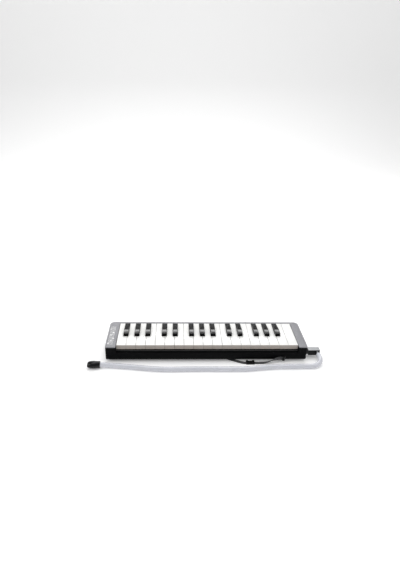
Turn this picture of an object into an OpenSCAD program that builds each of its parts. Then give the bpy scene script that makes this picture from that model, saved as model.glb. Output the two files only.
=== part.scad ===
/* [Keyboard] */
// Width taken by one white key
key_pitch = 19.5; // [17:0.5:23.5]
// Gap between neighbouring keys
key_gap = 0.5; // [0.3:0.1:0.8]
// Gap between the outer keys and the casing's end blocks
side_gap = 0.7; // [0.4:0.1:1.5]
// Width of a black key
black_w = 9.8; // [7:0.2:10.4]
// Height of a black key's front above the white keys
black_rise = 6.5; // [4:0.5:9]
// Length of a black key
black_len = 50.5; // [42:0.5:60]
// How far the white keys' fronts stand behind the casing's front
key_inset = 7; // [5:0.5:10]
// Height of a white key's front face
key_front_h = 9.4; // [8:0.2:11]
// Thickness of a key's top
key_top_t = 2; // [1.5:0.1:2.5]
// Thickness of a key's side walls
key_wall = 1.4; // [1:0.1:1.8]

/* [Casing] */
// Depth of the casing, front to back
case_depth = 98; // [94:1:120]
// Height of the top cover above the table
case_h = 36; // [35:0.5:44]
// Width of the left end block
left_block_w = 20.8; // [18:0.2:30]
// Width of the right end block
right_block_w = 17.3; // [16:0.1:30]
// Thickness of the casing's walls
wall = 2.4; // [1.8:0.1:3]
// Height of the seam between the lower and upper casing
seam_z = 20; // [19:0.5:21]
// Rounding of the lower casing's bottom edges
edge_r = 8; // [5:0.5:9]
// Plan radius of the back corners
back_r = 10; // [6:0.5:14]
// Plan radius of the front corners
front_r = 3.4; // [3:0.2:6]
// Thickness of the top cover
cover_t = 2; // [1.5:0.1:2.5]
// Width of the cover's back rail
rail_w = 6; // [5:0.5:9]
// Height of the rubber feet below the casing
foot_h = 2.4; // [2.4:0.1:5]
// Diameter of a rubber foot
foot_d = 14; // [10:1:18]
// Distance of a foot's middle from the casing's end
foot_from_end = 32; // [26:1:60]
// Distance of a foot's middle from the casing's front or back
foot_from_edge = 18; // [17:0.5:24]
// Spacing of the middle row of casing screws
mid_screw_pitch = 92; // [84:1:104]

/* [Wind chest] */
// Thickness of the wind chest deck
deck_t = 2; // [1.6:0.1:2.4]
// Thickness of the chest gasket
gasket_t = 0.8; // [0.6:0.1:1]
// Depth of the reed cells under the deck
cell_depth = 6; // [4:0.5:6.5]
// Thickness of a reed plate
plate_t = 1.2; // [0.8:0.1:1.6]
// Thickness of a reed
reed_t = 0.4; // [0.2:0.1:0.6]
// Length of the lowest reed
reed_long = 34; // [26:1:36]
// Length of the highest reed
reed_short = 13; // [10:1:18]

/* [Key action] */
// Diameter of the key shaft
shaft_d = 3; // [2.4:0.1:3.6]
// Radial clearance of the keys on the shaft
shaft_clear = 0.04; // [0.02:0.01:0.08]
// Distance of the key shaft from the casing's back
shaft_from_back = 26; // [24:0.5:30]
// Height of the key shaft above the deck
shaft_rise = 7; // [6:0.5:8]
// Length of a valve pad
pad_len = 10; // [8:0.5:11]
// Width of a valve pad
pad_w = 7; // [5:0.5:7.5]
// Thickness of a valve pad
pad_t = 2; // [1.5:0.1:2.5]
// Thickness of the stop felts
felt_t = 0.8; // [0.5:0.1:1.2]

/* [Blow hose and drain] */
// Outside diameter of the hose
hose_d = 10; // [8:0.5:12]
// Bore of the blow socket
socket_bore_d = 9; // [7:0.2:9.4]
// Radial clearance of the plug in the blow socket
plug_clear = 0.05; // [0.02:0.01:0.1]
// Wall of the blow socket
socket_wall = 0.9; // [0.7:0.1:0.9]
// How far the blow socket and the drain button stand out of the end walls
end_proud = 2.5; // [1.5:0.5:4]
// Diameter of the drain button's stem
drain_d = 6; // [4:0.5:7]

/* [Hand strap] */
// Width of the strap
strap_w = 7.4; // [6:0.2:8]
// Thickness of the strap
strap_t = 1.2; // [0.8:0.1:1.4]
// How far the strap's slack and buckle reach in front of the casing
strap_reach = 10; // [10:1:14]

/* [Hidden] */
WHITES = 19;
KEYS = 32;
EPS = 0.01;

// Casing and mechanism first, then the keys from the lowest to the highest

// Overall sizes. The casing is centred on X, and the strap's slack counts in the depth.
case_len = left_block_w + right_block_w + WHITES * key_pitch + 2 * side_gap;
end_x = case_len / 2;
front_y = -(case_depth - strap_reach) / 2;
bay_x0 = -end_x + left_block_w;
bay_x1 = end_x - right_block_w;

// Heights
base_z = foot_h;
floor_z = base_z + wall;
deck_z = seam_z - deck_t;
ledge_z = deck_z - gasket_t;
cell_z = deck_z - cell_depth;
plate_z = cell_z - plate_t;
reed_z = plate_z - reed_t;
rim_z = case_h - cover_t;
shaft_z = seam_z + shaft_rise;
key_z = case_h;
key_low_z = key_z - key_front_h;
// The shelf and the bar carry the felts that stop the keys
shelf_z = max(key_low_z - 5, seam_z + 1.6);
bar_z = max(key_low_z - 3.2, seam_z + 3.4);
key_under_z = key_z - key_top_t;
tail_z = max(shaft_z + shaft_d / 2 + 2.9, key_under_z - 2.4);

// Depths, measured back from the casing's front
shaft_t = case_depth - shaft_from_back;
key_back_t = case_depth - rail_w - 0.6;
black_t = key_back_t - black_len;
notch_t = black_t - 0.9;
step_t = shaft_t - 16;
bar_t0 = notch_t;
bar_t1 = bar_t0 + 6.5;
pad_t1 = key_back_t - 0.6;
pad_t0 = pad_t1 - pad_len;
spring_t = shaft_t - 8;
block_t0 = bar_t1 + 2.5;
block_t1 = case_depth - 4.8;
cell_t0 = block_t0 + 3;
cell_t1 = block_t1 - 3.2;
ledge_w = 2;
deck_inset = wall + 0.1;

// Small parts
seat_h = 0.6;
pad_z = seam_z + seat_h + 0.1;
pad_glue = 0.05;
black_side_gap = 0.4;
spring_d = 4.4;
spring_gap = 0.7;
web_z = seam_z + 8;
boss_r = shaft_d / 2 + 1.7;
guide_w = 3;
screw_d = 3;
screw_inset = 10.4;
screw_front_t = 10;
screw_back_t = case_depth - 12;
mid_screw_x = [for (k = [-1.5 : 1.5]) k * mid_screw_pitch];
boss_d = 8;
small_screw_d = 2;
slot_side = 0.1;
slot_face = 0.1;
staple_side = 0.2;
staple_face = 0.15;

// Blow socket, drain and hose set
blow_t = 21;
blow_z = 11.6;
drain_t = 24;
socket_r = socket_bore_d / 2 + socket_wall;
plug_r = socket_bore_d / 2 - plug_clear;
elbow_x0 = end_x + end_proud + 5.5;
elbow_len = 24;
elbow_w = 12;
elbow_h = 12;
neck_x = elbow_x0 + 19;
neck_len = 7;
hose_r = hose_d / 2;

// Hose centre line: elbow neck, table, mouthpiece
hose_route = [
  [232, -36, 11.6], [232.5, -41, 11.2], [233, -47, 10.2], [232, -53, 8.8], [229, -58.5, 7.4],
  [223.5, -63, 6.1], [217, -65.8, 5.3], [209, -66.6, 5], [196, -66.5, 5], [178, -67, 5],
  [158, -67, 5], [140, -67.5, 5], [122, -69, 5], [106, -71, 5], [90, -73.5, 5], [75, -75, 5],
  [50, -75, 5], [25, -75, 5], [0, -74.5, 5], [-25, -74.5, 5], [-50, -75, 5], [-72, -75.5, 5],
  [-92, -75, 5], [-112, -73, 5], [-132, -70, 5], [-152, -67, 5], [-172, -64.5, 5.1],
  [-190, -62.8, 5.7], [-204, -62.1, 6.7], [-213, -62, 7]];
hose_sides = 12;
mouth_x = -213;
mouth_y = -62;
mouth_z = 7;

// Strap: heights of its flat run and of its staple, and depths of its slack and its bridge
strap_z = 0.4 + strap_t / 2;
staple_z = 9.2;
staple_x = 155;
staple_t = -0.6 - strap_t / 2;
slack_t = 4.5 - strap_reach;
bridge_x = -122;
bridge_t = 39;
buckle_x = 80;

// Strap centre line: x, depth, height, and the tilt of its width from 0 flat to 90 on edge
strap_route = [
  [161, staple_t, staple_z, 90], [150, staple_t - 0.2, staple_z, 90],
  [142, staple_t - 1.2, staple_z - 0.8, 75], [132, staple_t - 3.2, 5.6, 40],
  [122, slack_t + 0.1, 2.6, 15], [112, slack_t, strap_z + 0.2, 0], [97, slack_t, strap_z, 0],
  [79, slack_t, strap_z, 0], [68, -2, strap_z, 0], [50, 7, strap_z, 0], [30, 18, strap_z, 0],
  [10, 27, strap_z, 0], [-20, 35, strap_z, 0], [-60, 38, strap_z, 0],
  [-100, bridge_t, strap_z, 0], [-118, bridge_t, strap_z, 0]];

// Keyboard layout, counted up from F
IS_BLACK = [0, 1, 0, 1, 0, 1, 0, 0, 1, 0, 1, 0];
PLACE = [0, 0.84, 1, 2, 2, 3.16, 3, 4, 4.92, 5, 6.08, 6];
function is_black(i) = IS_BLACK[i % 12] == 1;
function place(i) = bay_x0 + side_gap + key_pitch * (7 * floor(i / 12) + PLACE[i % 12]);
// Left and right sides of a key's head and of its tail
function head_x0(i) = is_black(i) ? place(i) - black_w / 2 : place(i) + key_gap / 2;
function head_x1(i) = is_black(i) ? place(i) + black_w / 2 : place(i) + key_pitch - key_gap / 2;
function beside_left(i) = !is_black(i) && i > 0 && is_black(i - 1);
function beside_right(i) = !is_black(i) && i < KEYS - 1 && is_black(i + 1);
function tail_x0(i) = beside_left(i) ? head_x1(i - 1) + black_side_gap : head_x0(i);
function tail_x1(i) = beside_right(i) ? head_x0(i + 1) - black_side_gap : head_x1(i);
function tail_mid(i) = (tail_x0(i) + tail_x1(i)) / 2;
function between(i) = (tail_x1(i) + tail_x0(i + 1)) / 2;
function reed_len(i) = reed_long + (reed_short - reed_long) * i / (KEYS - 1);
function reed_w(i) = 3 - i / 40;

// Block from its X, depth and height limits
module block(x0, x1, t0, t1, z0, z1) {
  translate([x0, front_y + t0, z0]) cube([x1 - x0, t1 - t0, z1 - z0]);
}

// Rod along X
module rod(x0, x1, t, z, r) {
  translate([x0, front_y + t, z]) rotate([0, 90, 0]) cylinder(h = x1 - x0, r = r, $fn = 48);
}

// Upright cylinder
module post(x, t, z0, z1, r) {
  translate([x, front_y + t, z0]) cylinder(h = z1 - z0, r = r, $fn = 40);
}

// Side profile drawn in depth and height, extended along X
module profile(x0, x1, points) {
  translate([x0, front_y, 0]) rotate([90, 0, 90]) linear_extrude(x1 - x0) polygon(points);
}

// Plan of the casing with rounded corners, drawn inset from the outside
module plan(inset) {
  x = end_x - inset;
  y0 = front_y + inset;
  y1 = front_y + case_depth - inset;
  rb = back_r - inset;
  rf = max(front_r - inset, 0.8);
  translate([-x, y0 + rf]) square([2 * x, y1 - rb - y0 - rf]);
  translate([-x + rf, y0]) square([2 * (x - rf), rf + 1]);
  translate([-x + rb, y1 - rb - 1]) square([2 * (x - rb), rb + 1]);
  for (s = [-1, 1]) {
    translate([s * (x - rf), y0 + rf]) circle(r = rf, $fn = 48);
    translate([s * (x - rb), y1 - rb]) circle(r = rb, $fn = 48);
  }
}

module plan_solid(inset, z0, z1) {
  translate([0, 0, z0]) linear_extrude(z1 - z0) plan(inset);
}

// Upright section with rounded bottom corners
module tray_section(half, z0, z1, r) {
  translate([-half, z0 + r]) square([2 * half, z1 - z0 - r]);
  translate([-half + r, z0]) square([2 * (half - r), r + 1]);
  for (s = [-1, 1]) translate([s * (half - r), z0 + r]) circle(r = r, $fn = 48);
}

// Casing tray with rounded bottom edges, drawn inset from the outside
module tray(inset, z0, z1) {
  r = max(edge_r - inset, 1);
  mid_y = front_y + case_depth / 2;
  intersection() {
    plan_solid(inset, z0, z1);
    translate([-end_x - 1, mid_y, 0]) rotate([90, 0, 90])
      linear_extrude(2 * end_x + 2) tray_section(case_depth / 2 - inset, z0, z1 + 1, r);
    translate([0, mid_y + case_depth, 0]) rotate([90, 0, 0])
      linear_extrude(2 * case_depth) tray_section(end_x - inset, z0, z1 + 1, r);
  }
}

// Casing screws: x, depth, and the height where each one ends
function corner_screws() = [for (x = [-end_x + screw_inset, end_x - screw_inset],
  t = [screw_front_t, screw_back_t]) [x, t, seam_z + 9]];
function frame_screws() = [for (x = mid_screw_x) [x, (bar_t0 + bar_t1) / 2, bar_z - 0.6]];
function screw_places() = concat(corner_screws(), frame_screws());

function foot_places() = [for (x = [-end_x + foot_from_end, end_x - foot_from_end],
  t = [foot_from_edge, case_depth - foot_from_edge]) [x, t]];

module lower_casing() color([0.07, 0.07, 0.08]) {
  difference() {
    union() {
      difference() {
        tray(0, base_z, seam_z);
        tray(wall + ledge_w, floor_z, ledge_z + 1);
        plan_solid(deck_inset, ledge_z, seam_z + 1);
      }
      for (p = screw_places()) post(p[0], p[1], floor_z - EPS, deck_z, boss_d / 2);
      // Rib with a cup that guides the drain valve's spring
      difference() {
        block(-end_x + 16, -end_x + 19.5, drain_t - 5, drain_t + 5, floor_z - EPS, blow_z + 5);
        rod(-end_x + 15, -end_x + 18.4, drain_t, blow_z, drain_d / 2 + 0.3);
      }
    }
    for (p = screw_places()) {
      post(p[0], p[1], base_z - 1, base_z + 2.6, screw_d + 0.1);
      post(p[0], p[1], base_z, seam_z, screw_d / 2 + 0.1);
    }
    for (f = foot_places()) post(f[0], f[1], base_z - 1, base_z + 0.6, foot_d / 2);
    rod(end_x - 10, end_x + 1, blow_t, blow_z, socket_r);
    rod(-end_x - 1, -end_x + 6, drain_t, blow_z, drain_d / 2 + 0.05);
  }
}

// Two hollow end blocks and the back wall, with the key bay between them open at the front
module upper_casing() color([0.07, 0.07, 0.08]) {
  difference() {
    union() {
      difference() {
        plan_solid(0, seam_z, rim_z);
        block(bay_x0, bay_x1, -1, case_depth - 4.4, seam_z - 1, rim_z + 1);
        intersection() {
          plan_solid(wall, seam_z - 1, rim_z + 1);
          union() {
            block(-end_x, bay_x0 - wall, 0, case_depth, seam_z - 2, rim_z + 2);
            block(bay_x1 + wall, end_x, 0, case_depth, seam_z - 2, rim_z + 2);
          }
        }
      }
      // Screw bosses, each tied to the nearest wall by a rib
      for (p = corner_screws()) {
        near = p[1] < case_depth / 2;
        post(p[0], p[1], seam_z, p[2] + 2, boss_d / 2);
        block(p[0] - 1, p[0] + 1, near ? 1 : p[1], near ? p[1] : case_depth - 1, seam_z, p[2] + 2);
      }
    }
    for (p = corner_screws()) post(p[0], p[1], seam_z - 1, p[2], screw_d / 2);
    rod(bay_x0 - wall - 1, bay_x1 + wall + 1, shaft_t, shaft_z, shaft_d / 2 + 0.02);
  }
}

// Plate and bar under the fronts of the keys, with a guide post inside each key
module key_guide_frame() color([0.07, 0.07, 0.08]) {
  difference() {
    union() {
      block(bay_x0, bay_x1, 0, bar_t1, seam_z, shelf_z);
      block(bay_x0, bay_x1, bar_t0, bar_t1, seam_z, bar_z);
      for (i = [0 : KEYS - 1]) {
        if (is_black(i)) {
          block(tail_mid(i) - guide_w / 2, tail_mid(i) + guide_w / 2, bar_t0 + 3.4, bar_t1,
            bar_z - EPS, key_under_z - 3);
        } else {
          block(place(i) + key_pitch / 2 - guide_w / 2, place(i) + key_pitch / 2 + guide_w / 2,
            key_inset + 4.5, key_inset + 7.5, shelf_z - EPS, key_under_z - 4.8);
        }
      }
    }
    for (p = frame_screws()) post(p[0], p[1], seam_z - 1, p[2], screw_d / 2);
  }
}

module top_cover() color([0.58, 0.58, 0.6]) {
  difference() {
    plan_solid(0, rim_z, case_h);
    block(bay_x0, bay_x1, -1, case_depth - rail_w, rim_z - 1, case_h + 1);
  }
}

module wind_chest_deck() color([0.3, 0.3, 0.32]) {
  difference() {
    union() {
      plan_solid(deck_inset, deck_z, seam_z);
      block(bay_x0, bay_x1, block_t0, block_t1, cell_z, deck_z + EPS);
      for (i = [0 : KEYS - 2]) {
        block(between(i) - 0.7, between(i) + 0.7, shaft_t - 3.5, shaft_t + 3.5,
          seam_z - EPS, shaft_z + shaft_d / 2 + 2);
      }
      for (i = [0 : KEYS - 1]) {
        block(tail_mid(i) - pad_w / 2 + 0.3, tail_mid(i) + pad_w / 2 - 0.3,
          pad_t0 + 0.3, pad_t1 - 0.3, seam_z - EPS, seam_z + seat_h);
      }
    }
    for (i = [0 : KEYS - 1]) {
      block(tail_x0(i) + 0.8, tail_x1(i) - 0.8, cell_t0, cell_t1, cell_z - 1, deck_z);
      block(tail_mid(i) - pad_w / 2 + 1.3, tail_mid(i) + pad_w / 2 - 1.3,
        pad_t0 + 1.3, pad_t1 - 1.3, deck_z - 1, seam_z + 1);
    }
    rod(bay_x0, bay_x1, shaft_t, shaft_z, shaft_d / 2 + 0.02);
    for (p = screw_places()) post(p[0], p[1], deck_z - 1, seam_z + 1, screw_d / 2 + 0.1);
    for (p = plate_screw_places()) post(p[0], p[1], cell_z - 1, cell_z + 3.2, small_screw_d / 2);
  }
}

module chest_gasket() color([0.55, 0.2, 0.15]) {
  difference() {
    plan_solid(deck_inset, ledge_z, deck_z);
    plan_solid(wall + ledge_w, ledge_z - 1, deck_z + 1);
  }
}

// The reed plates meet between keys 16 and 17
plate_split = between(15);
function plate_screw_places() = [
  for (x = [bay_x0 + 3, (bay_x0 + plate_split) / 2, plate_split - 3,
            plate_split + 3, (bay_x1 + plate_split) / 2, bay_x1 - 3],
       t = [block_t0 + 1.5, block_t1 - 1.7]) [x, t]];

// Reed plate for the keys from first to last
module reed_plate(first, last, x0, x1) color([0.8, 0.66, 0.35]) {
  difference() {
    block(x0, x1, block_t0, block_t1, plate_z, cell_z);
    for (i = [first : last]) {
      block(tail_mid(i) - reed_w(i) / 2 - 0.1, tail_mid(i) + reed_w(i) / 2 + 0.1,
        cell_t0 + 4, cell_t0 + 1 + reed_len(i), plate_z - 1, cell_z + 1);
      post(tail_mid(i), cell_t0 + 2, plate_z - 1, cell_z + 1, 0.6);
    }
    for (p = plate_screw_places()) post(p[0], p[1], plate_z - 1, cell_z + 1, small_screw_d / 2);
  }
}

module reed_plate_bass() reed_plate(0, 15, bay_x0, plate_split - 0.2);
module reed_plate_treble() reed_plate(16, 31, plate_split + 0.2, bay_x1);

module reeds() color([0.85, 0.72, 0.4]) {
  for (i = [0 : KEYS - 1]) {
    difference() {
      block(tail_mid(i) - reed_w(i) / 2, tail_mid(i) + reed_w(i) / 2,
        cell_t0 + 0.4, cell_t0 + 0.6 + reed_len(i), reed_z, plate_z);
      post(tail_mid(i), cell_t0 + 2, reed_z - 1, plate_z + 1, 0.6);
    }
  }
}

module reed_rivets() color([0.75, 0.75, 0.72]) {
  for (i = [0 : KEYS - 1]) {
    post(tail_mid(i), cell_t0 + 2, reed_z, cell_z, 0.6);
    post(tail_mid(i), cell_t0 + 2, reed_z - 0.5, reed_z, 1.1);
  }
}

module reed_plate_screws() color([0.7, 0.7, 0.7]) {
  for (p = plate_screw_places()) {
    post(p[0], p[1], plate_z, cell_z + 3, small_screw_d / 2);
    post(p[0], p[1], plate_z - 1, plate_z, small_screw_d / 2 + 0.7);
  }
}

module key_shaft() color([0.75, 0.75, 0.77]) {
  rod(bay_x0 - wall, bay_x1 + wall, shaft_t, shaft_z, shaft_d / 2);
}

// Coil springs under the keys, standing on the deck, drawn at their pressed height
module key_springs() color([0.8, 0.8, 0.8]) {
  top = web_z - spring_gap;
  turns = 6;
  rise = (top - seam_z) / turns;
  for (i = [0 : KEYS - 1]) {
    translate([tail_mid(i), front_y + spring_t, seam_z]) rotate_extrude($fn = 32) {
      for (k = [0 : turns - 1]) translate([spring_d / 2 - 0.65, k * rise]) square([0.65, rise - 0.3]);
      translate([spring_d / 2 - 0.65, 0]) square([0.3, top - seam_z]);
    }
  }
}

module front_stop_felt() color([0.09, 0.09, 0.1]) {
  block(bay_x0 + 0.5, bay_x1 - 0.5, key_inset + 0.5, key_inset + 3.5, shelf_z, shelf_z + felt_t);
}

module rear_stop_felt() color([0.09, 0.09, 0.1]) {
  block(bay_x0 + 0.5, bay_x1 - 0.5, bar_t0 + 0.6, bar_t0 + 2.6, bar_z, bar_z + felt_t);
}

module casing_screws() color([0.6, 0.6, 0.62]) {
  for (p = screw_places()) {
    difference() {
      union() {
        post(p[0], p[1], base_z + 2.6 - EPS, p[2] - 0.2, screw_d / 2);
        post(p[0], p[1], base_z + 0.6, base_z + 2.6, screw_d - 0.1);
      }
      for (a = [0, 90]) translate([p[0], front_y + p[1], base_z + 1]) rotate(a)
        cube([3.4, 0.7, 1.4], center = true);
    }
  }
}

module rubber_feet() color([0.12, 0.12, 0.12]) {
  for (f = foot_places()) post(f[0], f[1], 0, base_z + 0.6, foot_d / 2);
}

module blow_socket() color([0.1, 0.1, 0.1]) {
  difference() {
    union() {
      rod(end_x - 8, end_x + end_proud, blow_t, blow_z, socket_r);
      rod(end_x, end_x + end_proud, blow_t, blow_z, socket_r + 1);
    }
    rod(end_x - 9, end_x + end_proud + 1, blow_t, blow_z, socket_bore_d / 2);
  }
}

module drain_button() color([0.1, 0.1, 0.1]) {
  rod(-end_x - end_proud, -end_x + 7, drain_t, blow_z, drain_d / 2);
  rod(-end_x + 7 - EPS, -end_x + 12, drain_t, blow_z, drain_d / 2 - 1.2);
}

module drain_seal() color([0.35, 0.12, 0.1]) {
  difference() {
    rod(-end_x + 4.5, -end_x + 6, drain_t, blow_z, drain_d / 2 + 0.8);
    rod(-end_x + 4, -end_x + 7, drain_t, blow_z, drain_d / 2);
  }
}

module drain_spring() color([0.8, 0.8, 0.8]) {
  turns = 7;
  rise = 9.6 / turns;
  translate([-end_x + 7, front_y + drain_t, blow_z]) rotate([0, 90, 0]) rotate_extrude($fn = 32) {
    for (k = [0 : turns - 1]) translate([drain_d / 2 - 1.1, k * rise]) square([1, rise - 0.4]);
    translate([drain_d / 2 - 1.1, 0]) square([0.4, 9.4]);
  }
}

// Ring of points around a route, from its directions
function unit(v) = v / norm(v);
function heading(p, i) = unit([for (k = [0 : 2])
  p[min(i + 1, len(p) - 1)][k] - p[max(i - 1, 0)][k]]);
function level(d) = unit([-d[1], d[0], 0]);

// The hose: one closed sweep along its route
module hose_tube() color([0.88, 0.9, 0.95]) {
  count = len(hose_route);
  dirs = [for (i = [0 : count - 1])
    i == 0 ? [0, -1, 0] : i == count - 1 ? [-1, 0, 0] : heading(hose_route, i)];
  points = [for (i = [0 : count - 1]) let (d = dirs[i], n = level(d), b = cross(d, n))
    for (k = [0 : hose_sides - 1]) let (a = 360 * k / hose_sides)
      hose_route[i] + hose_r * (cos(a) * n + sin(a) * b)];
  sides = [for (i = [0 : count - 2]) for (k = [0 : hose_sides - 1])
    let (m = (k + 1) % hose_sides, a = i * hose_sides, b = a + hose_sides)
      for (f = [[a + k, b + k, b + m], [a + k, b + m, a + m]]) f];
  caps = [[for (k = [0 : hose_sides - 1]) k],
    [for (k = [hose_sides - 1 : -1 : 0]) (count - 1) * hose_sides + k]];
  polyhedron(points, concat(sides, caps));
}

// The strap: one flat band swept along its route
module hand_strap() color([0.08, 0.08, 0.09]) {
  count = len(strap_route);
  points = [for (i = [0 : count - 1])
    let (p = strap_route[i], d = heading(strap_route, i), n = level(d),
      w = unit(cos(p[3]) * n + sin(p[3]) * [0, 0, 1]), b = cross(d, w))
      for (c = [[-1, -1], [1, -1], [1, 1], [-1, 1]])
        [p[0], front_y + p[1], p[2]] + c[0] * strap_w / 2 * w + c[1] * strap_t / 2 * b];
  sides = [for (i = [0 : count - 2]) for (k = [0 : 3])
    let (m = (k + 1) % 4, a = i * 4, b = a + 4)
      for (f = [[a + k, b + k, b + m], [a + k, b + m, a + m]]) f];
  caps = [[0, 1, 2, 3], [for (k = [3 : -1 : 0]) (count - 1) * 4 + k]];
  polyhedron(points, concat(sides, caps));
}

module strap_buckle() color([0.1, 0.1, 0.1]) {
  half = strap_w / 2 + slot_side;
  difference() {
    block(buckle_x, buckle_x + 17, slack_t - half - 0.7, slack_t + half + 0.7, 0, 5);
    block(buckle_x - 1, buckle_x + 18, slack_t - half, slack_t + half,
      strap_z - strap_t / 2 - slot_face, strap_z + strap_t / 2 + slot_face);
    block(buckle_x + 4, buckle_x + 13, slack_t - half - 1.7, slack_t + half + 1.7, 3.2, 6);
  }
}

module strap_anchors() color([0.1, 0.1, 0.1]) {
  half = strap_w / 2 + staple_side;
  // Staple on the casing's front
  difference() {
    block(staple_x, staple_x + 4.5, staple_t - strap_t / 2 - 1.8, 0.6,
      staple_z - half - 0.9, staple_z + half + 1.1);
    block(staple_x - 1, staple_x + 5.5, staple_t - strap_t / 2 - staple_face,
      staple_t + strap_t / 2 + staple_face, staple_z - half, staple_z + half);
    tray(0, base_z, seam_z);
  }
  // Bridge under the casing
  difference() {
    block(bridge_x, bridge_x + 12, bridge_t - half - 1.8, bridge_t + half + 1.8, 0.2, base_z);
    block(bridge_x - 1, bridge_x + 13, bridge_t - half, bridge_t + half,
      strap_z - strap_t / 2 - slot_face, strap_z + strap_t / 2 + slot_face);
  }
}

module hose_elbow() color([0.8, 0.81, 0.82]) {
  y = front_y + blow_t;
  difference() {
    union() {
      translate([elbow_x0, y - elbow_w / 2, blow_z - elbow_h / 2]) cube([elbow_len, elbow_w, elbow_h]);
      rod(end_x - 6, elbow_x0 + 1, blow_t, blow_z, plug_r);
      translate([neck_x, y - elbow_w / 2 + 1, blow_z]) rotate([90, 0, 0])
        cylinder(h = neck_len + 1, r = 3.2, $fn = 48);
    }
    rod(end_x - 7, neck_x, blow_t, blow_z, 2.4);
    translate([neck_x, y + 2, blow_z]) rotate([90, 0, 0])
      cylinder(h = elbow_w / 2 + neck_len + 3, r = 2.2, $fn = 48);
  }
}

module plug_collar() color([0.09, 0.09, 0.09]) {
  difference() {
    rod(end_x + end_proud + 0.3, elbow_x0, blow_t, blow_z, socket_r + 0.6);
    rod(end_x, elbow_x0 + 1, blow_t, blow_z, plug_r);
  }
}

// Mouthpiece: round collar, oval body, flat lips
module mouthpiece() color([0.06, 0.06, 0.07]) {
  translate([mouth_x, mouth_y, mouth_z]) rotate([0, -90, 0]) {
    difference() {
      intersection() {
        rotate_extrude($fn = 64) polygon([[0, 0], [6.6, 0], [7, 1], [7.2, 6], [9, 11], [9, 19], [7, 25],
          [0, 25]]);
        translate([-7, -10, -1]) cube([14, 20, 27]);
      }
      translate([0, 0, 4]) cylinder(h = 30, r = 2.4, $fn = 40);
      translate([0, 0, -1]) cylinder(h = 6, r = 3.4, $fn = 40);
    }
  }
}

// Valve pad and its foot under a key's tail
module pad_arm(i) {
  x = tail_mid(i);
  block(x - pad_w / 2, x + pad_w / 2, pad_t0, pad_t1, pad_z + pad_t + pad_glue, pad_z + pad_t + 1.5);
  block(x - 1.5, x + 1.5, pad_t0 + 1, pad_t1 - 1, pad_z + pad_t + 1, key_under_z + 0.2);
}

module valve_pad(i) {
  x = tail_mid(i);
  color([0.93, 0.9, 0.82])
    block(x - pad_w / 2, x + pad_w / 2, pad_t0, pad_t1, pad_z, pad_z + pad_t);
}

// Web and pivot boss under a key, with the shaft's bore
module pivot_web(i) {
  x = tail_mid(i);
  block(x - 1.5, x + 1.5, shaft_t - 14, pad_t1 - 1, web_z, key_under_z + 0.2);
  rod(x - 2.7, x + 2.7, shaft_t, shaft_z, boss_r);
}

module shaft_bore(i) {
  rod(tail_mid(i) - 4, tail_mid(i) + 4, shaft_t, shaft_z, shaft_d / 2 + shaft_clear);
}

module white_key(i) {
  x0 = head_x0(i);
  x1 = head_x1(i);
  a = tail_x0(i);
  b = tail_x1(i);
  w = key_wall;
  color([0.95, 0.95, 0.93]) difference() {
    union() {
      difference() {
        union() {
          block(x0, x1, key_inset, notch_t, key_low_z, key_z);
          block(a, b, notch_t - EPS, step_t, key_low_z, key_z);
          block(a, b, step_t - EPS, key_back_t, tail_z, key_z);
        }
        block(x0 + w, x1 - w, key_inset + 1.8, notch_t - w, key_low_z - 1, key_under_z);
        block(a + w, b - w, notch_t - w - 1, key_back_t - w, key_low_z - 1, key_under_z);
      }
      pivot_web(i);
      pad_arm(i);
    }
    shaft_bore(i);
  }
  valve_pad(i);
}

module black_key(i) {
  x0 = head_x0(i);
  x1 = head_x1(i);
  top = key_z + black_rise;
  crest_t = black_t + 15;
  color([0.03, 0.03, 0.035]) difference() {
    union() {
      difference() {
        profile(x0, x1, [[black_t, key_low_z], [black_t, key_z], [black_t + 1, top - 1.6],
          [black_t + 2, top - 0.8], [crest_t, top], [key_back_t, key_z + 0.4],
          [key_back_t, tail_z], [step_t, tail_z], [step_t, key_low_z]]);
        profile(x0 + key_wall, x1 - key_wall, [[black_t + 2, key_low_z - 1], [black_t + 3, top - 3.4],
          [crest_t, top - 2.6], [key_back_t - key_wall, key_under_z], [key_back_t - key_wall, tail_z - 1],
          [step_t, tail_z - 1], [step_t, key_low_z - 1]]);
      }
      pivot_web(i);
      pad_arm(i);
    }
    shaft_bore(i);
  }
  valve_pad(i);
}

module key(i) {
  if (is_black(i)) black_key(i);
  else white_key(i);
}

lower_casing();
upper_casing();
top_cover();
key_guide_frame();
wind_chest_deck();
chest_gasket();
reed_plate_bass();
reed_plate_treble();
reeds();
reed_rivets();
reed_plate_screws();
key_shaft();
key_springs();
front_stop_felt();
rear_stop_felt();
casing_screws();
rubber_feet();
blow_socket();
drain_button();
drain_spring();
drain_seal();
hand_strap();
strap_buckle();
strap_anchors();
hose_elbow();
plug_collar();
hose_tube();
mouthpiece();
key(0);  // key_01_f
key(1);  // key_02_f_sharp
key(2);  // key_03_g
key(3);  // key_04_g_sharp
key(4);  // key_05_a
key(5);  // key_06_a_sharp
key(6);  // key_07_b
key(7);  // key_08_c
key(8);  // key_09_c_sharp
key(9);  // key_10_d
key(10);  // key_11_d_sharp
key(11);  // key_12_e
key(12);  // key_13_f
key(13);  // key_14_f_sharp
key(14);  // key_15_g
key(15);  // key_16_g_sharp
key(16);  // key_17_a
key(17);  // key_18_a_sharp
key(18);  // key_19_b
key(19);  // key_20_c
key(20);  // key_21_c_sharp
key(21);  // key_22_d
key(22);  // key_23_d_sharp
key(23);  // key_24_e
key(24);  // key_25_f
key(25);  // key_26_f_sharp
key(26);  // key_27_g
key(27);  // key_28_g_sharp
key(28);  // key_29_a
key(29);  // key_30_a_sharp
key(30);  // key_31_b
key(31);  // key_32_c
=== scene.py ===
import math

import bmesh
import bpy
from mathutils import Matrix, Vector


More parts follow.
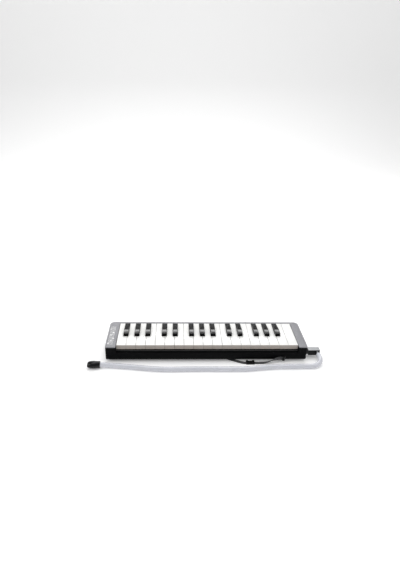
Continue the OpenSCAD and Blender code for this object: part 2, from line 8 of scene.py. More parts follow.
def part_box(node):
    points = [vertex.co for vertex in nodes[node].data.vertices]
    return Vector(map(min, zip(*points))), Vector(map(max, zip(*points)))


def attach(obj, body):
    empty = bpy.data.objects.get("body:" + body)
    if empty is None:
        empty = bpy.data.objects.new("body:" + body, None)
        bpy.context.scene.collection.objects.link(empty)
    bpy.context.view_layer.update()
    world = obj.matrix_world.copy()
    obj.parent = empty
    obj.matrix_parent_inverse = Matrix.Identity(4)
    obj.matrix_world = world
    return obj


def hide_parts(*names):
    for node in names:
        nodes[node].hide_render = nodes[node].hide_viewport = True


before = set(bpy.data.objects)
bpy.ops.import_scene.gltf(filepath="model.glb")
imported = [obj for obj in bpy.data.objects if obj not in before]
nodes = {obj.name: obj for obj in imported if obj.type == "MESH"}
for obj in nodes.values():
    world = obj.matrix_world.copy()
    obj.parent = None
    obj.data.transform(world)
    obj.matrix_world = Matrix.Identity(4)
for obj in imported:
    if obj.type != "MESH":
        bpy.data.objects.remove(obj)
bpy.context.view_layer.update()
scene = bpy.context.scene


# ---------------------------------------------------------------- camera

# The player's eye in metres, and how far it looks down, looks right and leans, in degrees.
EYE = (-0.0656, -0.8358, 0.5687)
LOOK_DOWN = 26.37
LOOK_RIGHT = 3.456
LEAN = 1.90


def place_camera():
    """A standing player's view of the keyboard, with the hose in front."""
    data = bpy.data.cameras.new("player_view")
    data.sensor_width = 36.0
    data.sensor_fit = "AUTO"
    data.lens = 29.75
    data.clip_start = 0.01
    data.clip_end = 30.0
    data.shift_x = -0.0012
    camera = bpy.data.objects.new("player_view", data)
    scene.collection.objects.link(camera)
    pitch = math.radians(LOOK_DOWN)
    yaw = math.radians(LOOK_RIGHT)
    roll = math.radians(LEAN)
    level = math.cos(pitch)
    forward = Vector((math.sin(yaw) * level, math.cos(yaw) * level, -math.sin(pitch)))
    right = Vector((math.cos(yaw), -math.sin(yaw), 0.0))
    up = right.cross(forward)
    tilted_right = math.cos(roll) * right + math.sin(roll) * up
    tilted_up = -math.sin(roll) * right + math.cos(roll) * up
    turn = Matrix((tilted_right, tilted_up, -forward)).transposed()
    camera.matrix_world = Matrix.Translation(EYE) @ turn.to_4x4()
    scene.camera = camera


# ---------------------------------------------------------------- shader parts

SURFACE_SOCKETS = (
    ("Colour", "NodeSocketColor"), ("Roughness", "NodeSocketFloat"), ("Height", "NodeSocketFloat"))


def new_group(name, inputs):
    """An empty shader group: its own inputs, and a surface's colour, roughness and height out."""
    group = bpy.data.node_groups.new(name, "ShaderNodeTree")
    for label, kind, value in inputs:
        socket = group.interface.new_socket(label, in_out="INPUT", socket_type=kind)
        socket.default_value = value
    for label, kind in SURFACE_SOCKETS:
        group.interface.new_socket(label, in_out="OUTPUT", socket_type=kind)
    source = group.nodes.new("NodeGroupInput")
    sink = group.nodes.new("NodeGroupOutput")
    return group, source, sink


def put_out(group, sink, colour, roughness, height):
    """Links a group's three results to its outputs."""
    group.links.new(colour, sink.inputs["Colour"])
    group.links.new(roughness, sink.inputs["Roughness"])
    group.links.new(height, sink.inputs["Height"])


def noise(tree, vector, scale, detail, rough=0.55):
    texture = tree.nodes.new("ShaderNodeTexNoise")
    texture.inputs["Scale"].default_value = scale
    texture.inputs["Detail"].default_value = detail
    texture.inputs["Roughness"].default_value = rough
    tree.links.new(vector, texture.inputs["Vector"])
    return texture.outputs["Fac"]


def remap(tree, value, span, result):
    """Maps the two ends of a span of values on to two results."""
    node = tree.nodes.new("ShaderNodeMapRange")
    node.inputs["From Min"].default_value = span[0]
    node.inputs["From Max"].default_value = span[1]
    node.inputs["To Min"].default_value = result[0]
    node.inputs["To Max"].default_value = result[1]
    tree.links.new(value, node.inputs["Value"])
    return node.outputs["Result"]


def math_node(tree, operation, a, b):
    node = tree.nodes.new("ShaderNodeMath")
    node.operation = operation
    for socket, value in zip(node.inputs, (a, b)):
        if isinstance(value, (int, float)):
            socket.default_value = value
        else:
            tree.links.new(value, socket)
    return node.outputs["Value"]


def mix_colour(tree, factor, a, b):
    node = tree.nodes.new("ShaderNodeMix")
    node.data_type = "RGBA"
    tree.links.new(factor, node.inputs["Factor"])
    for socket, value in ((node.inputs["A"], a), (node.inputs["B"], b)):
        if isinstance(value, tuple):
            socket.default_value = value
        else:
            tree.links.new(value, socket)
    return node.outputs["Result"]


def moulding_group():
    """Moulded plastic: soft mottling, a fine skin and handling marks."""
    group, source, sink = new_group(
        "moulded_surface",
        [("Vector", "NodeSocketVector", (0.0, 0.0, 0.0)),
         ("Base", "NodeSocketColor", (0.5, 0.5, 0.5, 1.0)),
         ("Marked", "NodeSocketColor", (0.6, 0.6, 0.6, 1.0)),
         ("Roughness", "NodeSocketFloat", 0.4),
         ("Spread", "NodeSocketFloat", 0.08)])
    vector = source.outputs["Vector"]
    mottle = noise(group, vector, scale=34.0, detail=3.0)
    skin = noise(group, vector, scale=1500.0, detail=2.0)
    scuffs = noise(group, vector, scale=190.0, detail=5.0, rough=0.7)
    marks = remap(group, scuffs, (0.58, 0.74), (0.0, 1.0))
    soft = math_node(group, "MULTIPLY", marks, 0.35)
    amount = math_node(group, "ADD", soft, remap(group, mottle, (0.3, 0.7), (0.0, 0.22)))
    colour = mix_colour(group, amount, source.outputs["Base"], source.outputs["Marked"])
    sway = remap(group, mottle, (0.25, 0.75), (-1.0, 1.0))
    swing = math_node(group, "MULTIPLY", sway, source.outputs["Spread"])
    rough = math_node(group, "ADD", source.outputs["Roughness"], swing)
    put_out(group, sink, colour, rough, skin)
    return group


def grain_group():
    """Sandblasted paint: bright and dark specks over a slow tone change."""
    group, source, sink = new_group(
        "blasted_paint",
        [("Vector", "NodeSocketVector", (0.0, 0.0, 0.0)),
         ("Dark", "NodeSocketColor", (0.3, 0.3, 0.32, 1.0)),
         ("Light", "NodeSocketColor", (0.5, 0.5, 0.52, 1.0))])
    vector = source.outputs["Vector"]
    speck = noise(group, vector, scale=1900.0, detail=2.0, rough=0.6)
    tone = noise(group, vector, scale=22.0, detail=2.0)
    bright = remap(group, speck, (0.36, 0.64), (0.12, 0.82))
    factor = math_node(group, "ADD", bright, remap(group, tone, (0.3, 0.7), (-0.1, 0.1)))
    colour = mix_colour(group, factor, source.outputs["Dark"], source.outputs["Light"])
    put_out(group, sink, colour, remap(group, speck, (0.3, 0.7), (0.34, 0.5)), speck)
    return group


RIBS_ACROSS = 62.8
THREADS_ALONG = 5200.0


def weave_group():
    """Flat webbing: ribs across the band and finer threads along it, from the band's own UV; the low parts
    take painted shade.
    """
    group, source, sink = new_group(
        "webbing_weave",
        [("Across", "NodeSocketFloat", 0.0), ("Along", "NodeSocketFloat", 0.0),
         ("Thread", "NodeSocketColor", (0.05, 0.05, 0.055, 1.0)),
         ("Gap", "NodeSocketColor", (0.01, 0.01, 0.012, 1.0))])
    across = math_node(group, "MULTIPLY", source.outputs["Across"], RIBS_ACROSS)
    ribs = math_node(group, "SINE", across, 0.0)
    along = math_node(group, "MULTIPLY", source.outputs["Along"], THREADS_ALONG)
    threads = math_node(group, "SINE", along, 0.0)
    crossed = math_node(group, "MULTIPLY", ribs, threads)
    height = remap(group, crossed, (-1.0, 1.0), (0.0, 1.0))
    # Painted shade: the lower the weave, the closer its colour comes to the dark gap colour.
    colour = mix_colour(group, height, source.outputs["Gap"], source.outputs["Thread"])
    put_out(group, sink, colour, remap(group, height, (0.0, 1.0), (0.95, 0.75)), height)
    return group


def brushed_group():
    """Rolled or drawn metal: long streaks along X and small tarnish clouds."""
    group, source, sink = new_group(
        "rolled_metal",
        [("Vector", "NodeSocketVector", (0.0, 0.0, 0.0)),
         ("Clean", "NodeSocketColor", (0.7, 0.7, 0.7, 1.0)),
         ("Dull", "NodeSocketColor", (0.4, 0.4, 0.4, 1.0))])
    stretch = group.nodes.new("ShaderNodeMapping")
    stretch.inputs["Scale"].default_value = (0.05, 1.0, 1.0)
    group.links.new(source.outputs["Vector"], stretch.inputs["Vector"])
    streak = noise(group, stretch.outputs["Vector"], scale=1400.0, detail=2.0)
    cloud = noise(group, source.outputs["Vector"], scale=60.0, detail=4.0)
    tarnish = remap(group, cloud, (0.4, 0.7), (0.0, 0.7))
    colour = mix_colour(group, tarnish, source.outputs["Clean"], source.outputs["Dull"])
    put_out(group, sink, colour, remap(group, streak, (0.3, 0.7), (0.24, 0.42)), streak)
    return group


MOULDED = moulding_group()
BLASTED = grain_group()
WEAVE = weave_group()
ROLLED = brushed_group()


def start_material(name):
    """A new material, with its tree, its shader and the piece's own coordinates."""
    material = bpy.data.materials.new(name)
    material.use_nodes = True
    tree = material.node_tree
    shader = tree.nodes["Principled BSDF"]
    coordinates = tree.nodes.new("ShaderNodeTexCoord")
    return material, tree, shader, coordinates.outputs["Object"]


def wire_up(tree, shader, effect, relief, bump):
    """Links an effect to its shader; relief is the height of its bumps in metres."""
    tree.links.new(effect.outputs["Colour"], shader.inputs["Base Color"])
    tree.links.new(effect.outputs["Roughness"], shader.inputs["Roughness"])
    node = tree.nodes.new("ShaderNodeBump")
    node.inputs["Strength"].default_value = bump
    node.inputs["Distance"].default_value = relief
    tree.links.new(effect.outputs["Height"], node.inputs["Height"])
    tree.links.new(node.outputs["Normal"], shader.inputs["Normal"])


def effect_node(tree, group, vector=None, **values):
    """Places a shader group in a material, with that material's own values."""
    node = tree.nodes.new("ShaderNodeGroup")
    node.node_tree = group
    if vector is not None:
        tree.links.new(vector, node.inputs["Vector"])
    for label, value in values.items():
        node.inputs[label].default_value = value
    return node


PLASTIC_IOR = 1.49


def shade(r, g, b):
    return (r, g, b, 1.0)


def moulded(name, base, marked, roughness, spread=0.05, coat=0.0, sheer=0.0, relief=0.00002, bump=0.12,
            gloss=0.5):
    """Moulded plastic or rubber; sheer lets light into it and gloss sets its mirror strength."""
    material, tree, shader, vector = start_material(name)
    effect = effect_node(tree, MOULDED, vector, Base=base, Marked=marked, Roughness=roughness, Spread=spread)
    wire_up(tree, shader, effect, relief, bump)
    shader.inputs["IOR"].default_value = PLASTIC_IOR
    shader.inputs["Specular IOR Level"].default_value = gloss
    shader.inputs["Coat Weight"].default_value = coat
    shader.inputs["Coat Roughness"].default_value = 0.08
    shader.inputs["Subsurface Weight"].default_value = sheer
    shader.inputs["Subsurface Radius"].default_value = (0.004, 0.004, 0.0045)
    return material


def metal(name, clean, dull):
    material, tree, shader, vector = start_material(name)
    effect = effect_node(tree, ROLLED, vector, Clean=clean, Dull=dull)
    wire_up(tree, shader, effect, relief=0.00001, bump=0.2)
    shader.inputs["Metallic"].default_value = 1.0
    return material


def painted_cover(name):
    material, tree, shader, vector = start_material(name)
    effect = effect_node(
        tree, BLASTED, vector, Dark=shade(0.17, 0.17, 0.185), Light=shade(0.30, 0.30, 0.315))
    wire_up(tree, shader, effect, relief=0.00003, bump=0.25)
    shader.inputs["Metallic"].default_value = 0.25
    return material


def felt(name, colour, dark):
    material, tree, shader, vector = start_material(name)
    effect = effect_node(tree, MOULDED, vector, Base=colour, Marked=dark, Roughness=0.95, Spread=0.03)
    wire_up(tree, shader, effect, relief=0.0002, bump=0.6)
    shader.inputs["Sheen Weight"].default_value = 0.5
    return material


def webbing(name):
    material, tree, shader, _ = start_material(name)
    uv = tree.nodes.new("ShaderNodeUVMap")
    uv.uv_map = "band"
    split = tree.nodes.new("ShaderNodeSeparateXYZ")
    tree.links.new(uv.outputs["UV"], split.inputs["Vector"])
    # The gap colour is painted shade in the hollows between the threads.
    effect = effect_node(tree, WEAVE, Thread=shade(0.075, 0.075, 0.08), Gap=shade(0.012, 0.012, 0.014))
    tree.links.new(split.outputs["X"], effect.inputs["Across"])
    tree.links.new(split.outputs["Y"], effect.inputs["Along"])
    wire_up(tree, shader, effect, relief=0.0002, bump=0.7)
    shader.inputs["Sheen Weight"].default_value = 0.3
    return material


# ---------------------------------------------------------------- finishes

FINISH = {
    "white_key": moulded(
        "ivory_white_key", shade(0.86, 0.86, 0.845), shade(0.81, 0.805, 0.78), roughness=0.2, spread=0.04,
        coat=0.25),
    # Painted shade: the white keys' fronts are coloured a darker, warmer grey than their white tops.
    "key_front": moulded(
        "key_front_painted_shade", shade(0.42, 0.375, 0.335), shade(0.36, 0.32, 0.285), roughness=0.34, coat=0.2),
    "black_key": moulded(
        "glossy_black_key", shade(0.002, 0.002, 0.0025), shade(0.006, 0.006, 0.0065), roughness=0.16,
        gloss=0.08),
    # Painted highlight, partly real: the black keys' front slopes get a slightly lighter black, and a clear
    # coat that truly reflects the back strip lamp.
    "key_slope": moulded(
        "black_key_slope_painted_highlight", shade(0.004, 0.004, 0.0045), shade(0.012, 0.012, 0.013), roughness=0.16,
        coat=0.35),
    "casing": moulded(
        "satin_black_casing", shade(0.0025, 0.0025, 0.003), shade(0.008, 0.008, 0.009), roughness=0.5,
        spread=0.09, relief=0.00006, bump=0.3, gloss=0.06),
    "cover": painted_cover("blasted_grey_cover"),
    "fitting": moulded(
        "black_fitting", shade(0.004, 0.004, 0.0045), shade(0.012, 0.012, 0.013), roughness=0.36, gloss=0.2),
    "rubber": moulded(
        "matte_rubber", shade(0.018, 0.018, 0.019), shade(0.04, 0.04, 0.042), roughness=0.78, spread=0.08),
    "seal": moulded(
        "red_brown_rubber", shade(0.2, 0.035, 0.02), shade(0.28, 0.06, 0.04), roughness=0.7, spread=0.08),
    "deck": moulded(
        "grey_wind_chest", shade(0.12, 0.12, 0.13), shade(0.17, 0.17, 0.18), roughness=0.55, spread=0.08),
    "elbow": moulded(
        "light_grey_elbow", shade(0.36, 0.37, 0.385), shade(0.30, 0.31, 0.32), roughness=0.24, coat=0.4),
    "hose": moulded(
        "milky_hose", shade(0.60, 0.61, 0.66), shade(0.68, 0.69, 0.73), roughness=0.25, spread=0.07,
        coat=0.35, sheer=0.15),
    "mouthpiece": moulded(
        "glossy_black_mouthpiece", shade(0.002, 0.002, 0.0025), shade(0.006, 0.006, 0.007), roughness=0.1,
        spread=0.03, coat=0.15, gloss=0.2),
    "pad": felt("cream_valve_pad", shade(0.78, 0.72, 0.58), shade(0.7, 0.63, 0.5)),
    "stop_felt": felt("dark_stop_felt", shade(0.02, 0.02, 0.022), shade(0.035, 0.035, 0.037)),
    "steel": metal("drawn_steel", shade(0.62, 0.62, 0.64), shade(0.4, 0.4, 0.41)),
    "brass": metal("rolled_brass", shade(0.78, 0.57, 0.26), shade(0.5, 0.34, 0.14)),
    "strap": webbing("black_webbing"),
    "ink": moulded("white_ink", shade(0.80, 0.80, 0.80), shade(0.7, 0.7, 0.7), roughness=0.5),
}


# ---------------------------------------------------------------- making pieces

def mesh_piece(name, bm, finish, body, smooth=True):
    """Turns a bmesh into a piece whose object sits at the origin and rides on a body."""
    bmesh.ops.recalc_face_normals(bm, faces=bm.faces)
    mesh = bpy.data.meshes.new(name)
    bm.to_mesh(mesh)
    bm.free()
    piece = bpy.data.objects.new(name, mesh)
    scene.collection.objects.link(piece)
    mesh.materials.append(FINISH[finish])
    for face in mesh.polygons:
        face.use_smooth = smooth
    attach(piece, body)
    return piece


def box_mesh(bm, x0, x1, y0, y1, z0, z1):
    """Adds an upright box."""
    place = Matrix.Translation(((x0 + x1) / 2, (y0 + y1) / 2, (z0 + z1) / 2))
    size = Matrix.Diagonal((x1 - x0, y1 - y0, z1 - z0, 1.0))
    bmesh.ops.create_cube(bm, size=1.0, matrix=place @ size)


# ---------------------------------------------------------------- cord: the blow hose

HOSE_DIAMETER = 0.010
HOSE_ROUNDNESS = 6
HOSE_ROUTE = [
    (0.232, -0.036, 0.0116), (0.2325, -0.041, 0.0112), (0.233, -0.047, 0.0102), (0.232, -0.053, 0.0088),
    (0.229, -0.0585, 0.0074), (0.2235, -0.063, 0.0061), (0.217, -0.0658, 0.0053), (0.209, -0.0666, 0.005),
    (0.196, -0.0665, 0.005), (0.178, -0.067, 0.005), (0.158, -0.067, 0.005), (0.140, -0.0675, 0.005),
    (0.122, -0.069, 0.005), (0.106, -0.071, 0.005), (0.090, -0.0735, 0.005), (0.075, -0.075, 0.005),
    (0.050, -0.075, 0.005), (0.025, -0.075, 0.005), (0.0, -0.0745, 0.005), (-0.025, -0.0745, 0.005),
    (-0.050, -0.075, 0.005), (-0.072, -0.0755, 0.005), (-0.092, -0.075, 0.005), (-0.112, -0.073, 0.005),
    (-0.132, -0.070, 0.005), (-0.152, -0.067, 0.005), (-0.172, -0.0645, 0.0051), (-0.190, -0.0628, 0.0057),
    (-0.204, -0.0621, 0.0067), (-0.213, -0.062, 0.007)]


def make_hose():
    """The milky blow hose, one open curve from the elbow to the mouthpiece."""
    data = bpy.data.curves.new("blow_hose", "CURVE")
    data.dimensions = "3D"
    data.bevel_depth = HOSE_DIAMETER / 2
    data.bevel_resolution = HOSE_ROUNDNESS
    data.resolution_u = HOSE_ROUNDNESS
    data.use_fill_caps = True
    spline = data.splines.new("POLY")
    spline.points.add(len(HOSE_ROUTE) - 1)
    for point, place in zip(spline.points, HOSE_ROUTE):
        point.co = (*place, 1.0)
    spline.use_smooth = True
    data.materials.append(FINISH["hose"])
    hose = bpy.data.objects.new("blow_hose", data)
    scene.collection.objects.link(hose)
    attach(hose, "hose_set")
    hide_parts("hose_tube")
    return hose


# ---------------------------------------------------------------- keys

# A pad lies below PAD_TOP and behind PAD_FRONT. Lengths are in metres and angles in degrees.
PAD_TOP = 0.0229
PAD_FRONT = 0.03
WHITE_TOP = 0.036
BLACK_RISE = 0.002
SKIN = 0.0002
SLOPE_LENGTH = 0.016
SLOPE_LEAN = 0.03
FRONT_DEPTH = 0.0005
FACING = 0.9
WHITE_EASE = 0.00045
BLACK_EASE = 0.0006
COVER_EASE = 0.0006
EASE_SEGMENTS = 3
SQUARE_EDGE = 40
SLOPED_EDGE = 18
SHADING_EDGE = 30
PAD_SLOT = 1
PAINTED_LIGHT_SLOT = 2


def joined_copy(node):
    """A node's shape as one clean skin: loose triangles joined, flat faces made whole."""
    bm = bmesh.new()
    bm.from_mesh(nodes[node].data)
    bmesh.ops.remove_doubles(bm, verts=bm.verts, dist=0.00001)
    bmesh.ops.dissolve_limit(bm, angle_limit=math.radians(0.5), use_dissolve_boundaries=False, verts=bm.verts,
                             edges=bm.edges, delimit=set())
    return bm


def ease_edges(bm, above, width, sharpness):
    """Rounds the sharp outward edges that lie wholly above a height."""
    edges = []
    for edge in bm.edges:
        if len(edge.link_faces) == 2 and min(v.co.z for v in edge.verts) > above:
            if edge.is_convex and edge.calc_face_angle(0.0) > math.radians(sharpness):
                edges.append(edge)
    bmesh.ops.bevel(bm, geom=edges, offset=width, offset_type="OFFSET", segments=EASE_SEGMENTS, profile=0.5,
                    affect="EDGES", clamp_overlap=True, material=-1)


def finish_key_faces(mesh, front, black):
    """Head, cream pad, and the painted shade on a white key's front or the painted highlight on a black key's
    slope.
    """
    for face in mesh.polygons:
        centre = face.center
        # Black keys: the front slope faces take the painted highlight. White keys: the front faces take the
        # painted shade.
        if black:
            sloped = face.normal.z > FACING and face.normal.y < -SLOPE_LEAN
            painted_light_face = sloped and centre.y < front + SLOPE_LENGTH
        else:
            painted_light_face = face.normal.y < -FACING and centre.y < front + FRONT_DEPTH
        if centre.z < PAD_TOP and centre.y > PAD_FRONT:
            face.material_index = PAD_SLOT
        elif painted_light_face:
            face.material_index = PAINTED_LIGHT_SLOT


def make_key(node):
    """One key with eased top edges, in place of its plain shape."""
    black = node.endswith("sharp")
    low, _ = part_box(node)
    bm = joined_copy(node)
    if black:
        ease_edges(bm, WHITE_TOP + BLACK_RISE, BLACK_EASE, SLOPED_EDGE)
    else:
        ease_edges(bm, WHITE_TOP - SKIN, WHITE_EASE, SQUARE_EDGE)
    finish = "black_key" if black else "white_key"
    key = mesh_piece("head_" + node[4:], bm, finish, node)
    key.data.materials.append(FINISH["pad"])
    key.data.materials.append(FINISH["key_slope" if black else "key_front"])
    finish_key_faces(key.data, low[1], black)
    key.data.set_sharp_from_angle(angle=math.radians(SHADING_EDGE))
    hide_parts(node)


def make_cover():
    """The grey cover with a fine rolled edge round its top."""
    bm = joined_copy("top_cover")
    ease_edges(bm, WHITE_TOP - SKIN, COVER_EASE, SQUARE_EDGE)
    cover = mesh_piece("grey_cover", bm, "cover", "casing")
    cover.data.set_sharp_from_angle(angle=math.radians(SHADING_EDGE))
    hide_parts("top_cover")


# ---------------------------------------------------------------- the print on the bass end's panel

INK_THICK = 0.00015
MOTIF_X = -0.196
STAVE_LINES = 5
STAVE_STEP = 0.0021
STAVE_FRONT = -0.036
STAVE_BACK = 0.034
HALF_LINE = 0.00025
NOTE_PLACES = (-0.030, -0.021, -0.012, 0.001, 0.010, 0.024)
NOTE_RADIUS = 0.0017
NOTE_STRETCH = 1.35
STEM_LENGTH = 0.0058
STEM_NEAR = 0.0016
STEM_FAR = 0.0022


def print_line(bm, x0, x1, y0, y1):
    box_mesh(bm, x0, x1, y0, y1, WHITE_TOP - SKIN, WHITE_TOP + INK_THICK)


def print_note(bm, x, y, stem):
    """A round note head with a stem that runs along the panel's width."""
    stretch = Matrix.Diagonal((1.0, NOTE_STRETCH, 1.0, 1.0))
    place = Matrix.Translation((x, y, WHITE_TOP)) @ stretch
    bmesh.ops.create_cone(bm, cap_ends=True, segments=28, radius1=NOTE_RADIUS, radius2=NOTE_RADIUS,
                          depth=2 * INK_THICK, matrix=place)
    print_line(bm, min(x, x + stem), max(x, x + stem), y + STEM_NEAR, y + STEM_FAR)


def make_panel_motif():
    """Five stave lines with a run of notes, printed in white; stems point back across the stave."""
    bm = bmesh.new()
    middle = STAVE_LINES // 2
    for line in range(STAVE_LINES):
        x = MOTIF_X + (line - middle) * STAVE_STEP
        print_line(bm, x - HALF_LINE, x + HALF_LINE, STAVE_FRONT, STAVE_BACK)
    for place, y in enumerate(NOTE_PLACES):
        step = (place * 2) % STAVE_LINES - middle
        print_note(bm, MOTIF_X + step * STAVE_STEP, y, -STEM_LENGTH if step > 0 else STEM_LENGTH)
    mesh_piece("stave_print", bm, "ink", "casing", smooth=False)


# ---------------------------------------------------------------- mouthpiece and elbow

MOUTH_START = Vector((-0.213, -0.062, 0.007))
# Along the mouthpiece from the hose, then half its width and half its height, in millimetres. The rings run
# up the outside, over the lip and back down the bore.
MOUTH_RINGS = [
    (0.0, 4.9, 4.9), (0.0, 6.3, 6.3), (0.5, 6.8, 6.7), (1.6, 7.0, 6.9), (5.6, 7.1, 6.95), (7.6, 7.6, 6.95),
    (10.5, 8.6, 6.95), (14.0, 8.95, 6.9), (18.0, 8.9, 6.6), (21.0, 8.4, 5.9), (23.4, 7.7, 5.0),
    (24.5, 7.2, 4.4), (24.95, 6.5, 3.8), (24.8, 5.6, 3.1), (24.0, 4.6, 2.7), (20.0, 3.2, 2.4),
    (8.0, 2.4, 2.4)]
MOUTH_SIDES = 56
MOUTH_EDGE = 50
ELBOW_TOP_SLOT = 1
ELBOW_TOP_FACING = 0.7


def make_mouthpiece():
    """Oval mouthpiece: a round collar on the hose, a swelling body, rolled lips and the bore inside them."""
    bm = bmesh.new()
    hoops = []
    for along, half_wide, half_high in MOUTH_RINGS:
        place = (Matrix.Translation((MOUTH_START.x - along / 1000, MOUTH_START.y, MOUTH_START.z))
                 @ Matrix.Diagonal((1.0, half_wide / 1000, half_high / 1000, 1.0))
                 @ Matrix.Rotation(math.radians(90), 4, "Y"))
        made = len(bm.edges)
        bmesh.ops.create_circle(bm, cap_ends=False, segments=MOUTH_SIDES, radius=1.0, matrix=place)
        # The edges in the order they were made, so that every run joins the hoops alike.
        hoops.append(list(bm.edges)[made:])
    for one, other in zip(hoops, hoops[1:]):
        bmesh.ops.bridge_loops(bm, edges=one + other)
    for hoop in (hoops[0], hoops[-1]):
        bmesh.ops.edgeloop_fill(bm, edges=hoop)
    piece = mesh_piece("oval_mouthpiece", bm, "mouthpiece", "hose_set")
    piece.data.set_sharp_from_angle(angle=math.radians(MOUTH_EDGE))
    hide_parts("mouthpiece")
    return piece


def dress_elbow():
    """The elbow's flat top is light grey and its sides are dark."""
    mesh = nodes["hose_elbow"].data
    mesh.materials.clear()
    mesh.materials.append(FINISH["fitting"])
    mesh.materials.append(FINISH["elbow"])
    for face in mesh.polygons:
        if face.normal.z > ELBOW_TOP_FACING:
            face.material_index = ELBOW_TOP_SLOT


# ---------------------------------------------------------------- stage

FLOOR_FRONT = -3.0
FLOOR_SIDE = 5.0
FLOOR_BEND = 1.6
BEND_RADIUS = 0.9
WALL_TOP = 4.0
FLOOR_GLOW = 0.16
SKY_STRENGTH = 0.42


def make_floor():
    """White sweep that curves up behind the part."""
    bm = bmesh.new()
    profile = [(FLOOR_FRONT, 0.0)]
    for degrees in range(0, 91, 6):
        turn = math.radians(degrees)
        back = FLOOR_BEND + BEND_RADIUS * math.sin(turn)
        profile.append((back, BEND_RADIUS - BEND_RADIUS * math.cos(turn)))
    profile.append((FLOOR_BEND + BEND_RADIUS, WALL_TOP))
    left = [bm.verts.new((-FLOOR_SIDE, y, z)) for y, z in profile]
    right = [bm.verts.new((FLOOR_SIDE, y, z)) for y, z in profile]
    for i in range(len(profile) - 1):
        bm.faces.new((left[i], right[i], right[i + 1], left[i + 1])).smooth = True
    mesh = bpy.data.meshes.new("floor")
    bm.to_mesh(mesh)
    bm.free()
    floor = bpy.data.objects.new("floor", mesh)
    scene.collection.objects.link(floor)
    material, _, shader, _ = start_material("pale_floor")
    shader.inputs["Base Color"].default_value = shade(0.95, 0.95, 0.95)
    shader.inputs["Roughness"].default_value = 0.9
    shader.inputs["Emission Color"].default_value = shade(1.0, 1.0, 1.0)
    shader.inputs["Emission Strength"].default_value = FLOOR_GLOW
    mesh.materials.append(material)


def add_light(name, place, aim, width, height, power):
    """A soft rectangular light; lengths in metres, power in watts."""
    data = bpy.data.lights.new(name, "AREA")
    data.shape = "RECTANGLE"
    data.size = width
    data.size_y = height
    data.energy = power
    light = bpy.data.objects.new(name, data)
    light.location = place
    light.rotation_euler = (Vector(aim) - Vector(place)).to_track_quat("-Z", "Y").to_euler()
    scene.collection.objects.link(light)


def make_stage():
    """The floor, four soft lights and an even white sky."""
    make_floor()
    part = (0.0, 0.0, 0.0)
    keys = (0.0, 0.0, 0.03)
    add_light("overhead", (0.1, 0.5, 1.7), part, width=1.7, height=1.7, power=17.5)
    add_light("window_left", (-1.4, -0.4, 1.2), part, width=1.0, height=1.0, power=8.0)
    add_light("fill_right", (1.3, -0.7, 1.0), part, width=1.0, height=1.0, power=4.0)
    add_light("back_strip", (-0.05, 1.8, 1.22), keys, width=1.8, height=0.4, power=8.0)
    world = bpy.data.worlds.new("studio")
    world.use_nodes = True
    sky = world.node_tree.nodes["Background"]
    sky.inputs["Color"].default_value = shade(1.0, 1.0, 1.0)
    sky.inputs["Strength"].default_value = SKY_STRENGTH
    scene.world = world
    scene.view_settings.view_transform = "Standard"


# ---------------------------------------------------------------- dressing the CAD nodes

NODE_FINISH = {
    "lower_casing": "casing",
    "upper_casing": "casing",
    "key_guide_frame": "casing",
    "wind_chest_deck": "deck",
    "chest_gasket": "seal",
    "reed_plate_bass": "brass",
    "reed_plate_treble": "brass",
    "reeds": "brass",
    "reed_rivets": "steel",
    "reed_plate_screws": "steel",
    "key_shaft": "steel",
    "key_springs": "steel",
    "front_stop_felt": "stop_felt",
    "rear_stop_felt": "stop_felt",
    "casing_screws": "steel",
    "rubber_feet": "rubber",
    "blow_socket": "fitting",
    "drain_button": "fitting",
    "drain_spring": "steel",
    "drain_seal": "seal",
    "strap_buckle": "fitting",
    "strap_anchors": "fitting",
    "plug_collar": "rubber",
}


def dress_nodes():
    """Gives each CAD node its finish, and makes the pieces that take the place of one."""
    for node, finish in NODE_FINISH.items():
        nodes[node].data.materials.clear()
        nodes[node].data.materials.append(FINISH[finish])
    for node in nodes:
        if node.startswith("key_") and node[4:6].isdigit():
            make_key(node)
    make_cover()
    make_panel_motif()
    dress_elbow()


# ---------------------------------------------------------------- the hand strap

# The middle of the band, in metres, and how far it is tilted on edge there, in degrees.
STRAP_ROUTE = [
    (0.161, -0.0452, 0.0092, 90), (0.150, -0.0454, 0.0092, 90), (0.142, -0.0464, 0.0084, 75),
    (0.132, -0.0484, 0.0056, 40), (0.122, -0.0494, 0.0026, 15), (0.112, -0.0495, 0.0012, 0),
    (0.097, -0.0495, 0.001, 0), (0.079, -0.0495, 0.001, 0), (0.068, -0.046, 0.001, 0),
    (0.050, -0.037, 0.001, 0), (0.030, -0.026, 0.001, 0), (0.010, -0.017, 0.001, 0),
    (-0.020, -0.009, 0.001, 0), (-0.060, -0.006, 0.001, 0), (-0.100, -0.005, 0.001, 0),
    (-0.118, -0.005, 0.001, 0)]
STRAP_WIDTH = 0.0074
STRAP_THICK = 0.0012
STRAP_STEPS = 4
FLAT_SHARE = 0.9
EDGE_SHARE = 0.5


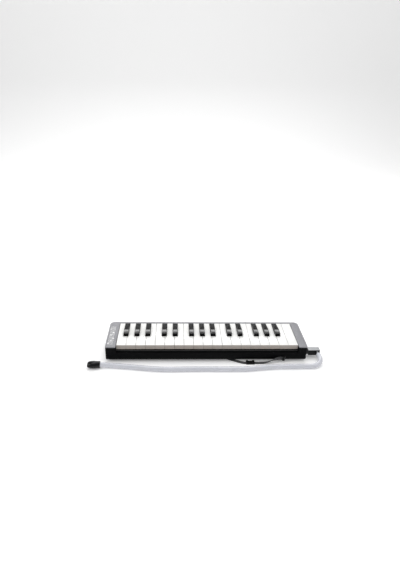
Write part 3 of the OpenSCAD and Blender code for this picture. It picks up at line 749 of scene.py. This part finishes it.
def smooth_route(points, steps):
    """Points on a smooth curve through a route, by Catmull and Rom's rule."""
    out = []
    rows = [Vector(p) for p in points]
    ends = [rows[0]] + rows + [rows[-1]]
    for i in range(1, len(ends) - 2):
        a, b, c, d = ends[i - 1], ends[i], ends[i + 1], ends[i + 2]
        for k in range(steps):
            t = k / steps
            out.append(0.5 * ((2 * b) + (c - a) * t + (2 * a - 5 * b + 4 * c - d) * t * t
                              + (3 * b - 3 * c + d - a) * t ** 3))
    out.append(rows[-1])
    return out


def make_strap():
    """Woven band: rings of vertices along its route, joined up, with its own UV for the weave."""
    stations = smooth_route(STRAP_ROUTE, STRAP_STEPS)
    bm = bmesh.new()
    layer = bm.loops.layers.uv.new("band")
    half_w = STRAP_WIDTH / 2
    half_t = STRAP_THICK / 2
    flat = half_w * FLAT_SHARE
    edge = half_t * EDGE_SHARE
    corners = [(-half_w, -edge), (-flat, -half_t), (flat, -half_t), (half_w, -edge),
               (half_w, edge), (flat, half_t), (-flat, half_t), (-half_w, edge)]
    rings = []
    run = 0.0
    runs = []
    for i, station in enumerate(stations):
        place = Vector(station[:3])
        before = Vector(stations[max(i - 1, 0)][:3])
        after = Vector(stations[min(i + 1, len(stations) - 1)][:3])
        ahead = (after - before).normalized()
        level = Vector((-ahead.y, ahead.x, 0.0)).normalized()
        tilt = math.radians(station[3])
        wide = (math.cos(tilt) * level + math.sin(tilt) * Vector((0, 0, 1))).normalized()
        thick = ahead.cross(wide).normalized()
        if i:
            run += (place - Vector(stations[i - 1][:3])).length
        runs.append(run)
        rings.append([bm.verts.new(place + u * wide + v * thick) for u, v in corners])
    count = len(corners)
    for i in range(len(rings) - 1):
        for k in range(count):
            m = (k + 1) % count
            face = bm.faces.new((rings[i][k], rings[i + 1][k], rings[i + 1][m], rings[i][m]))
            marks = [(corners[k][0], runs[i]), (corners[k][0], runs[i + 1]), (corners[m][0], runs[i + 1]),
                     (corners[m][0], runs[i])]
            for loop, mark in zip(face.loops, marks):
                loop[layer].uv = (mark[0] / STRAP_WIDTH + 0.5, mark[1])
    bm.faces.new(rings[0][::-1])
    bm.faces.new(rings[-1])
    strap = mesh_piece("woven_hand_strap", bm, "strap", "casing")
    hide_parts("hand_strap")


# ---------------------------------------------------------------- build

place_camera()
hose = make_hose()
dress_nodes()
make_strap()
mouthpiece = make_mouthpiece()
make_stage()
